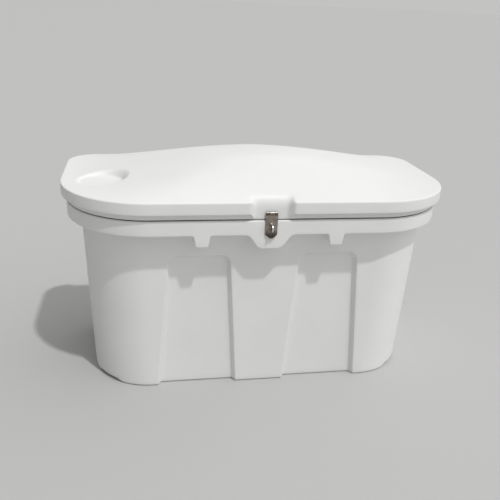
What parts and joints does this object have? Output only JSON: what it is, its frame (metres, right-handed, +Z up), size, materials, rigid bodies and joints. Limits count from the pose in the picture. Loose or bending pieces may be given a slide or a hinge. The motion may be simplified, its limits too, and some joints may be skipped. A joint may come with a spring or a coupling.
{
  "type": "dock box",
  "caption": "Moulded plastic dock box: panelled tub with a deep rim flange, crowned lid on a rear piano hinge with gas struts, and a front hasp over a turning padlock eye.",
  "frame": {"origin": "middle of the underside, on the deck", "axes": "+X along the length to the right as seen from the front, +Y to the rear, +Z up"},
  "size_m": [1.2, 0.5825, 0.71],
  "materials": {
    "moulded_shell": "fine moulded texture, satin",
    "seal_rubber": "matt",
    "stainless": "brushed",
    "strut_black": "satin black",
    "rod_chrome": "polished",
    "end_fitting": "matt",
    "bracket_zinc": "zinc plated",
    "screw_steel": "plain"
  },
  "bodies": {
    "tub_body": {"tub": "moulded_shell", "rim_seal": "seal_rubber", "hinge_leaf_tub": "stainless", "hinge_pin": "stainless", "hinge_screws_tub": "screw_steel", "hinge_nuts_tub": "screw_steel", "eye_plate": "stainless", "eye_plate_screws": "screw_steel", "eye_plate_nuts": "screw_steel", "bracket_tub_left": "bracket_zinc", "bracket_tub_right": "bracket_zinc", "bracket_tub_screws": "screw_steel"},
    "lid_body": {"lid": "moulded_shell", "hinge_leaf_lid": "stainless", "hinge_screws_lid": "screw_steel", "hinge_nuts_lid": "screw_steel", "hasp_leaf": "stainless", "hasp_pin": "stainless", "hasp_screws": "screw_steel", "hasp_nuts": "screw_steel", "bracket_lid_left": "bracket_zinc", "bracket_lid_right": "bracket_zinc", "bracket_lid_screws": "screw_steel"},
    "strap_body": {"hasp_strap": "stainless"},
    "eye_body": {"turning_eye": "stainless", "eye_nut": "stainless"},
    "rod_left_body": {"rod_left": "rod_chrome", "rod_eye_left": "end_fitting", "piston_left": "end_fitting"},
    "rod_right_body": {"rod_right": "rod_chrome", "rod_eye_right": "end_fitting", "piston_right": "end_fitting"},
    "tube_left_body": {"tube_left": "strut_black", "gland_left": "end_fitting", "tube_eye_left": "end_fitting"},
    "tube_right_body": {"tube_right": "strut_black", "gland_right": "end_fitting", "tube_eye_right": "end_fitting"}
  },
  "joints": [
    {"name": "lid_hinge", "type": "hinge", "parent": "tub_body", "child": "lid_body", "pos_m": [0, 0.2773, 0.57115], "axis": [-1, 0, 0], "range_deg": [0, 75]},
    {"name": "hasp_hinge", "type": "hinge", "parent": "lid_body", "child": "strap_body", "pos_m": [0, -0.2735, 0.5928], "axis": [-1, 0, 0], "range_deg": [0, 165]},
    {"name": "eye_turn", "type": "hinge", "parent": "tub_body", "child": "eye_body", "pos_m": [0, -0.2865, 0.5508], "axis": [0, 1, 0], "range_deg": [0, 90]},
    {"name": "rod_pivot_left", "type": "hinge", "parent": "tub_body", "child": "rod_left_body", "pos_m": [-0.5, 0.16512, 0.34773], "axis": [-1, 0, 0], "range_deg": [0, 37.5]},
    {"name": "tube_pivot_left", "type": "hinge", "parent": "lid_body", "child": "tube_left_body", "pos_m": [-0.5, 0.02899, 0.60015], "axis": [-1, 0, 0], "range_deg": [-37.5, 0]},
    {"name": "rod_pivot_right", "type": "hinge", "parent": "tub_body", "child": "rod_right_body", "pos_m": [0.5, 0.16512, 0.34773], "axis": [-1, 0, 0], "range_deg": [0, 37.5]},
    {"name": "tube_pivot_right", "type": "hinge", "parent": "lid_body", "child": "tube_right_body", "pos_m": [0.5, 0.02899, 0.60015], "axis": [-1, 0, 0], "range_deg": [-37.5, 0]}
  ],
  "couplings": [
    {"joint": "rod_pivot_left", "follows": "lid_hinge", "ratio": 0.5},
    {"joint": "tube_pivot_left", "follows": "lid_hinge", "ratio": -0.5},
    {"joint": "rod_pivot_right", "follows": "lid_hinge", "ratio": 0.5},
    {"joint": "tube_pivot_right", "follows": "lid_hinge", "ratio": -0.5}
  ]
}
